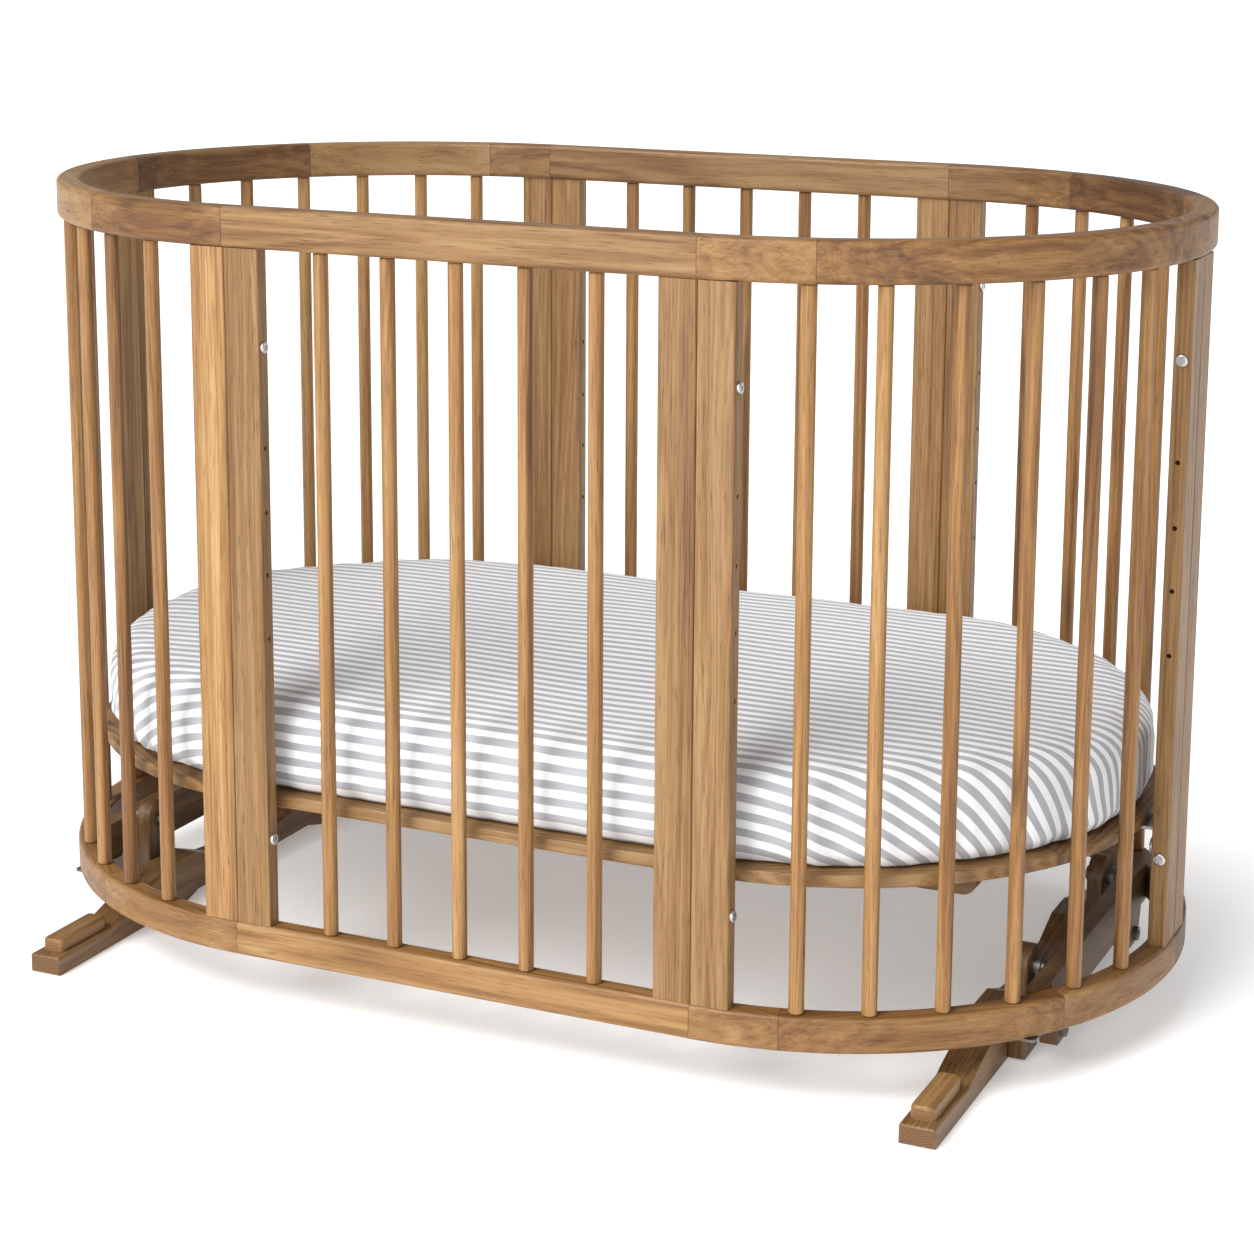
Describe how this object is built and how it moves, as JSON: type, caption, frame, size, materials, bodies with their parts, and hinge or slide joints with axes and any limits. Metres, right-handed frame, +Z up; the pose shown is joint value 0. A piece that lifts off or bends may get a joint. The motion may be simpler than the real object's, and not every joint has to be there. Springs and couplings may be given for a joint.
{
  "type": "oval baby crib",
  "caption": "Oval wooden baby crib: flat posts and round spindles between curved rails, striped mattress on a slatted base, hung on links from two floor feet so it can swing.",
  "frame": {"origin": "on the floor under the middle of the oval", "axes": "+X along the crib's length, -Y the long front side, +Z up"},
  "size_m": [1.25, 0.772, 0.822],
  "materials": {
    "oak_arc_rail": "oiled oak, laminated blocks, satin",
    "oak_panel_rail": "oiled oak, satin",
    "oak_post": "oiled oak, satin",
    "oak_spindle": "oiled oak dowel, satin",
    "oak_base": "oiled oak, satin",
    "slat_wood": "plain sanded birch slats",
    "oak_foot": "oiled oak, darker, satin",
    "oak_hanger": "oiled oak, darker, satin",
    "oak_block": "lighter oiled oak, satin",
    "bracket_steel": "zinc plated flat steel",
    "bolt_steel": "bright zinc",
    "striped_sheet": "white cotton with grey stripes"
  },
  "bodies": {
    "feet": {"foot_hangers": "oak_hanger", "foot_left": "oak_foot", "foot_right": "oak_foot", "hanger_nuts": "bolt_steel", "hanger_pins": "bolt_steel", "hanger_washers": "bolt_steel", "turn_block_bolts": "bolt_steel"},
    "links_front": {"swing_links_front": "bracket_steel"},
    "links_back": {"swing_links_back": "bracket_steel"},
    "crib": {"back_left_arc_bottom_rail": "oak_arc_rail", "back_left_arc_posts": "oak_post", "back_left_arc_spindles": "oak_spindle", "back_left_arc_top_rail": "oak_arc_rail", "back_panel_bottom_rail": "oak_panel_rail", "back_panel_posts": "oak_post", "back_panel_spindles": "oak_spindle", "back_panel_top_rail": "oak_panel_rail", "back_right_arc_bottom_rail": "oak_arc_rail", "back_right_arc_posts": "oak_post", "back_right_arc_spindles": "oak_spindle", "back_right_arc_top_rail": "oak_arc_rail", "beam_nuts": "bolt_steel", "beam_pins": "bolt_steel", "beam_plate_screws": "bolt_steel", "beam_plates": "bracket_steel", "beam_washers": "bolt_steel", "connector_bolts": "bolt_steel", "connector_nuts": "bolt_steel", "front_left_arc_bottom_rail": "oak_arc_rail", "front_left_arc_posts": "oak_post", "front_left_arc_spindles": "oak_spindle", "front_left_arc_top_rail": "oak_arc_rail", "front_panel_bottom_rail": "oak_panel_rail", "front_panel_posts": "oak_post", "front_panel_spindles": "oak_spindle", "front_panel_top_rail": "oak_panel_rail", "front_right_arc_bottom_rail": "oak_arc_rail", "front_right_arc_posts": "oak_post", "front_right_arc_spindles": "oak_spindle", "front_right_arc_top_rail": "oak_arc_rail", "swing_beam_left": "oak_hanger", "swing_beam_right": "oak_hanger"},
    "base": {"base_bearers": "slat_wood", "base_brackets": "bracket_steel", "base_rim_back": "oak_base", "base_rim_front": "oak_base", "base_rim_left": "oak_base", "base_rim_right": "oak_base", "base_slats": "slat_wood", "base_thumb_bolts": "bolt_steel", "mattress": "striped_sheet"},
    "turn_block_back_left": {"turn_block_back_left": "oak_block"},
    "turn_block_back_right": {"turn_block_back_right": "oak_block"},
    "turn_block_front_left": {"turn_block_front_left": "oak_block"},
    "turn_block_front_right": {"turn_block_front_right": "oak_block"}
  },
  "joints": [
    {"name": "front_link_pivot", "type": "hinge", "parent": "feet", "child": "links_front", "pos_m": [0, -0.14, 0.092], "axis": [1, 0, 0], "range_deg": [-22, 22]},
    {"name": "back_link_pivot", "type": "hinge", "parent": "feet", "child": "links_back", "pos_m": [0, 0.14, 0.092], "axis": [1, 0, 0], "range_deg": [-22, 22]},
    {"name": "swing", "type": "hinge", "parent": "links_front", "child": "crib", "pos_m": [0, -0.14, 0.032], "axis": [1, 0, 0], "range_deg": [-22, 22]},
    {"name": "base_height", "type": "slide", "parent": "crib", "child": "base", "axis": [0, 0, 1], "range_m": [0, 0.402]},
    {"name": "turn_front_left", "type": "hinge", "parent": "feet", "child": "turn_block_front_left", "pos_m": [-0.482, -0.351, 0.034], "axis": [0, 0, 1], "range_deg": [-90, 90]},
    {"name": "turn_front_right", "type": "hinge", "parent": "feet", "child": "turn_block_front_right", "pos_m": [0.482, -0.351, 0.034], "axis": [0, 0, 1], "range_deg": [-90, 90]},
    {"name": "turn_back_left", "type": "hinge", "parent": "feet", "child": "turn_block_back_left", "pos_m": [-0.482, 0.351, 0.034], "axis": [0, 0, 1], "range_deg": [-90, 90]},
    {"name": "turn_back_right", "type": "hinge", "parent": "feet", "child": "turn_block_back_right", "pos_m": [0.482, 0.351, 0.034], "axis": [0, 0, 1], "range_deg": [-90, 90]}
  ],
  "couplings": [
    {"joint": "front_link_pivot", "follows": "swing", "ratio": -1},
    {"joint": "back_link_pivot", "follows": "swing", "ratio": -1}
  ]
}
